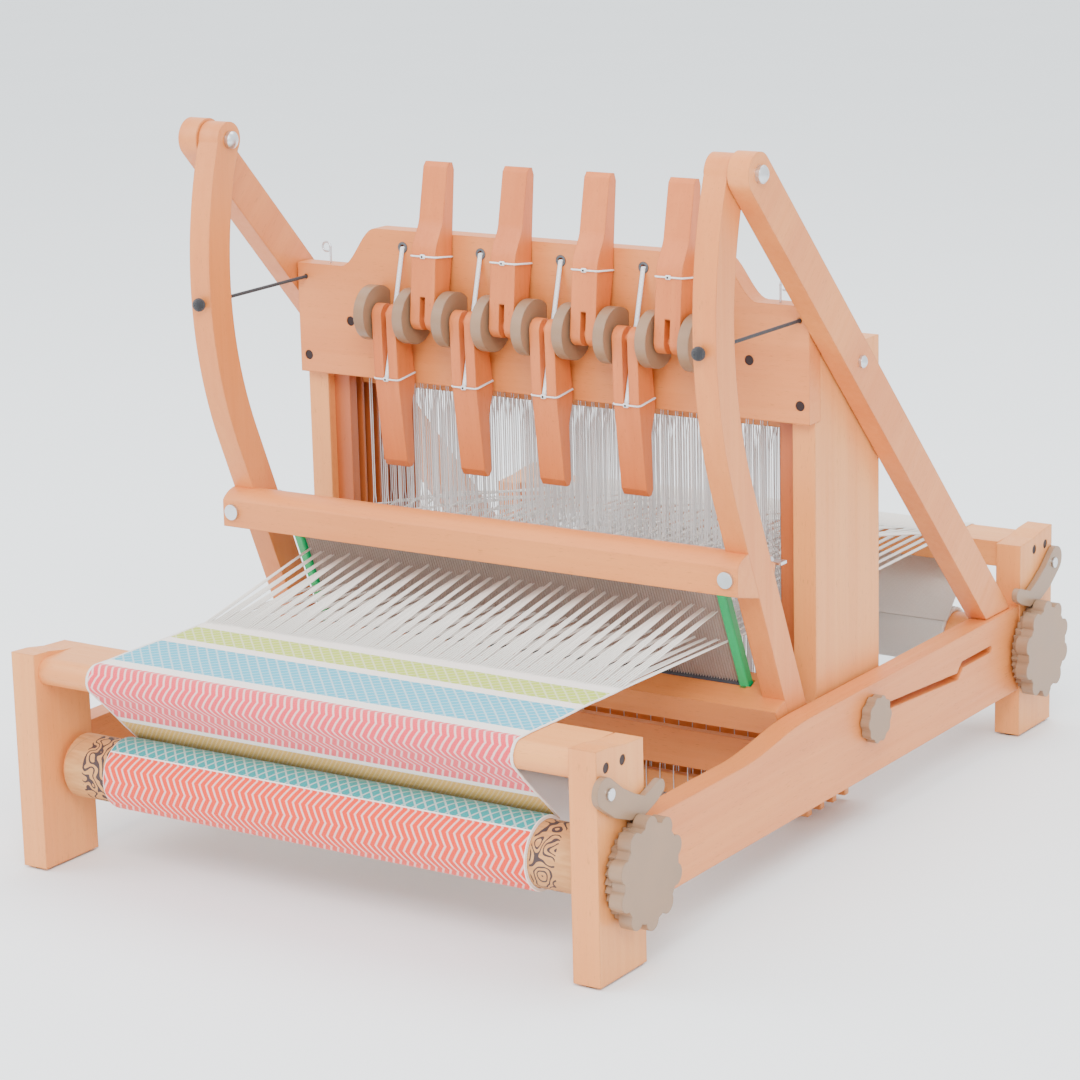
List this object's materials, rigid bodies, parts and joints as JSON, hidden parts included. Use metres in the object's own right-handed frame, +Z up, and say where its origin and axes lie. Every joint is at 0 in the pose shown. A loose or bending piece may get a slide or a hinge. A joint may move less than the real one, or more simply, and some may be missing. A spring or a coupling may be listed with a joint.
{
  "type": "loom",
  "caption": "Folding table loom with hand levers that lift threaded shafts, a swinging overhead beater with a reed, and ratcheted cloth and warp rollers.",
  "frame": {"origin": "on the table, midway between the two sides and between the fronts and backs of the legs", "axes": "+X right as the weaver sits, +Y back from the weaver along the warp, +Z up"},
  "size_m": [0.5655, 0.766, 0.5675],
  "materials": {
    "pale_beech": "satin oiled beech, straight grain",
    "beech": "satin oiled beech, pinkish orange",
    "red_beech": "darker red-brown hardwood, satin",
    "taupe_plastic": "moulded taupe plastic, matte",
    "bright_steel": "zinc plated, bright",
    "black_steel": "black finished screws",
    "rubber": "black rubber",
    "elastic_cord": "braided elastic cord, black",
    "cotton_cord": "natural cotton yarn and white cord",
    "kraft_paper": "kraft paper tube",
    "handwoven_cloth": "handwoven wool bands on a cream warp",
    "reed_metal": "dull metal dents with grey and green frame"
  },
  "bodies": {
    "frame": {"leg_front_left": "pale_beech", "leg_front_right": "pale_beech", "leg_back_left": "pale_beech", "leg_back_right": "pale_beech", "side_rail_left": "beech", "side_rail_right": "beech", "front_beam": "pale_beech", "back_beam": "pale_beech", "rubber_feet": "rubber", "wood_screws": "black_steel", "castle_side_left": "pale_beech", "castle_side_right": "pale_beech", "shaft_guide_left": "red_beech", "shaft_guide_right": "red_beech", "front_board": "beech", "castle_battens": "red_beech", "castle_cross_rail": "beech", "lever_brackets": "taupe_plastic", "lever_rod": "bright_steel", "wire_hooks": "bright_steel", "support_arm_left": "beech", "support_arm_right": "beech", "arm_bolts": "bright_steel", "shock_cords": "elastic_cord", "lift_cords": "cotton_cord", "woven_cloth": "handwoven_cloth", "warp_threads": "cotton_cord"},
    "beater": {"beater_arm_left": "beech", "beater_arm_right": "beech", "beater_top_beam": "beech", "beater_bottom_beam": "beech", "reed": "reed_metal", "beater_bolts": "bright_steel"},
    "cloth_beam": {"cloth_roller": "pale_beech", "paper_tube": "kraft_paper", "cloth_roll": "handwoven_cloth", "cloth_wheel": "taupe_plastic"},
    "warp_beam": {"warp_roller": "pale_beech", "warp_roll": "cotton_cord", "warp_wheel": "taupe_plastic"},
    "front_pawl": {"front_pawl": "taupe_plastic"},
    "back_pawl": {"back_pawl": "taupe_plastic"},
    "clamp_knob_left": {"clamp_knob_left": "taupe_plastic"},
    "clamp_knob_right": {"clamp_knob_right": "taupe_plastic"},
    "lever_1": {"lever_1": "beech"},
    "lever_2": {"lever_2": "beech"},
    "lever_3": {"lever_3": "beech"},
    "lever_4": {"lever_4": "beech"},
    "lever_5": {"lever_5": "beech"},
    "lever_6": {"lever_6": "beech"},
    "lever_7": {"lever_7": "beech"},
    "lever_8": {"lever_8": "beech"},
    "shaft_1": {"shaft_1": "pale_beech"},
    "shaft_2": {"shaft_2": "pale_beech"},
    "shaft_3": {"shaft_3": "pale_beech"},
    "shaft_4": {"shaft_4": "pale_beech"},
    "shaft_5": {"shaft_5": "pale_beech"},
    "shaft_6": {"shaft_6": "pale_beech"},
    "shaft_7": {"shaft_7": "pale_beech"},
    "shaft_8": {"shaft_8": "pale_beech"}
  },
  "joints": [
    {"name": "beater_swing", "type": "hinge", "parent": "frame", "child": "beater", "pos_m": [0, -0.1275, 0.551], "axis": [-1, 0, 0], "range_deg": [0, 22], "stiffness_Nm_per_rad": 2.5, "springref_deg": -34.38, "deforming": ["shock_cords"]},
    {"name": "cloth_beam_turn", "type": "hinge", "parent": "frame", "child": "cloth_beam", "pos_m": [0, -0.3305, 0.078], "axis": [1, 0, 0], "continuous": true},
    {"name": "warp_beam_turn", "type": "hinge", "parent": "frame", "child": "warp_beam", "pos_m": [0, 0.3305, 0.078], "axis": [1, 0, 0], "continuous": true},
    {"name": "front_pawl_lift", "type": "hinge", "parent": "frame", "child": "front_pawl", "pos_m": [0.2735, -0.3665, 0.146], "axis": [1, 0, 0], "range_deg": [0, 25]},
    {"name": "back_pawl_lift", "type": "hinge", "parent": "frame", "child": "back_pawl", "pos_m": [0.2735, 0.3665, 0.146], "axis": [-1, 0, 0], "range_deg": [0, 25]},
    {"name": "left_clamp_turn", "type": "hinge", "parent": "frame", "child": "clamp_knob_left", "pos_m": [-0.276, 0.0375, 0.092], "axis": [-1, 0, 0], "continuous": true},
    {"name": "right_clamp_turn", "type": "hinge", "parent": "frame", "child": "clamp_knob_right", "pos_m": [0.276, 0.0375, 0.092], "axis": [1, 0, 0], "continuous": true},
    {"name": "lever_1_swing", "type": "hinge", "parent": "frame", "child": "lever_1", "pos_m": [-0.1358, -0.03949, 0.4], "axis": [-1, 0, 0], "range_deg": [0, 192.9], "deforming": ["lift_cords"]},
    {"name": "lever_2_swing", "type": "hinge", "parent": "frame", "child": "lever_2", "pos_m": [-0.097, -0.03949, 0.4], "axis": [-1, 0, 0], "range_deg": [-192.9, 0], "deforming": ["lift_cords"]},
    {"name": "lever_3_swing", "type": "hinge", "parent": "frame", "child": "lever_3", "pos_m": [-0.0582, -0.03949, 0.4], "axis": [-1, 0, 0], "range_deg": [0, 192.9], "deforming": ["lift_cords"]},
    {"name": "lever_4_swing", "type": "hinge", "parent": "frame", "child": "lever_4", "pos_m": [-0.0194, -0.03949, 0.4], "axis": [-1, 0, 0], "range_deg": [-192.9, 0], "deforming": ["lift_cords"]},
    {"name": "lever_5_swing", "type": "hinge", "parent": "frame", "child": "lever_5", "pos_m": [0.0194, -0.03949, 0.4], "axis": [-1, 0, 0], "range_deg": [0, 192.9], "deforming": ["lift_cords"]},
    {"name": "lever_6_swing", "type": "hinge", "parent": "frame", "child": "lever_6", "pos_m": [0.0582, -0.03949, 0.4], "axis": [-1, 0, 0], "range_deg": [-192.9, 0], "deforming": ["lift_cords"]},
    {"name": "lever_7_swing", "type": "hinge", "parent": "frame", "child": "lever_7", "pos_m": [0.097, -0.03949, 0.4], "axis": [-1, 0, 0], "range_deg": [0, 192.9], "deforming": ["lift_cords"]},
    {"name": "lever_8_swing", "type": "hinge", "parent": "frame", "child": "lever_8", "pos_m": [0.1358, -0.03949, 0.4], "axis": [-1, 0, 0], "range_deg": [-192.9, 0], "deforming": ["lift_cords"]},
    {"name": "shaft_1_lift", "type": "slide", "parent": "frame", "child": "shaft_1", "axis": [0, 0, 1], "range_m": [-0.052, 0]},
    {"name": "shaft_2_lift", "type": "slide", "parent": "frame", "child": "shaft_2", "axis": [0, 0, 1], "range_m": [0, 0.052]},
    {"name": "shaft_3_lift", "type": "slide", "parent": "frame", "child": "shaft_3", "axis": [0, 0, 1], "range_m": [-0.052, 0]},
    {"name": "shaft_4_lift", "type": "slide", "parent": "frame", "child": "shaft_4", "axis": [0, 0, 1], "range_m": [0, 0.052]},
    {"name": "shaft_5_lift", "type": "slide", "parent": "frame", "child": "shaft_5", "axis": [0, 0, 1], "range_m": [-0.052, 0]},
    {"name": "shaft_6_lift", "type": "slide", "parent": "frame", "child": "shaft_6", "axis": [0, 0, 1], "range_m": [0, 0.052]},
    {"name": "shaft_7_lift", "type": "slide", "parent": "frame", "child": "shaft_7", "axis": [0, 0, 1], "range_m": [-0.052, 0]},
    {"name": "shaft_8_lift", "type": "slide", "parent": "frame", "child": "shaft_8", "axis": [0, 0, 1], "range_m": [0, 0.052]}
  ],
  "couplings": [
    {"joint": "shaft_1_lift", "follows": "lever_1_swing", "m_per_rad": -0.015445},
    {"joint": "shaft_2_lift", "follows": "lever_2_swing", "m_per_rad": -0.015445},
    {"joint": "shaft_3_lift", "follows": "lever_3_swing", "m_per_rad": -0.015445},
    {"joint": "shaft_4_lift", "follows": "lever_4_swing", "m_per_rad": -0.015445},
    {"joint": "shaft_5_lift", "follows": "lever_5_swing", "m_per_rad": -0.015445},
    {"joint": "shaft_6_lift", "follows": "lever_6_swing", "m_per_rad": -0.015445},
    {"joint": "shaft_7_lift", "follows": "lever_7_swing", "m_per_rad": -0.015445},
    {"joint": "shaft_8_lift", "follows": "lever_8_swing", "m_per_rad": -0.015445}
  ]
}
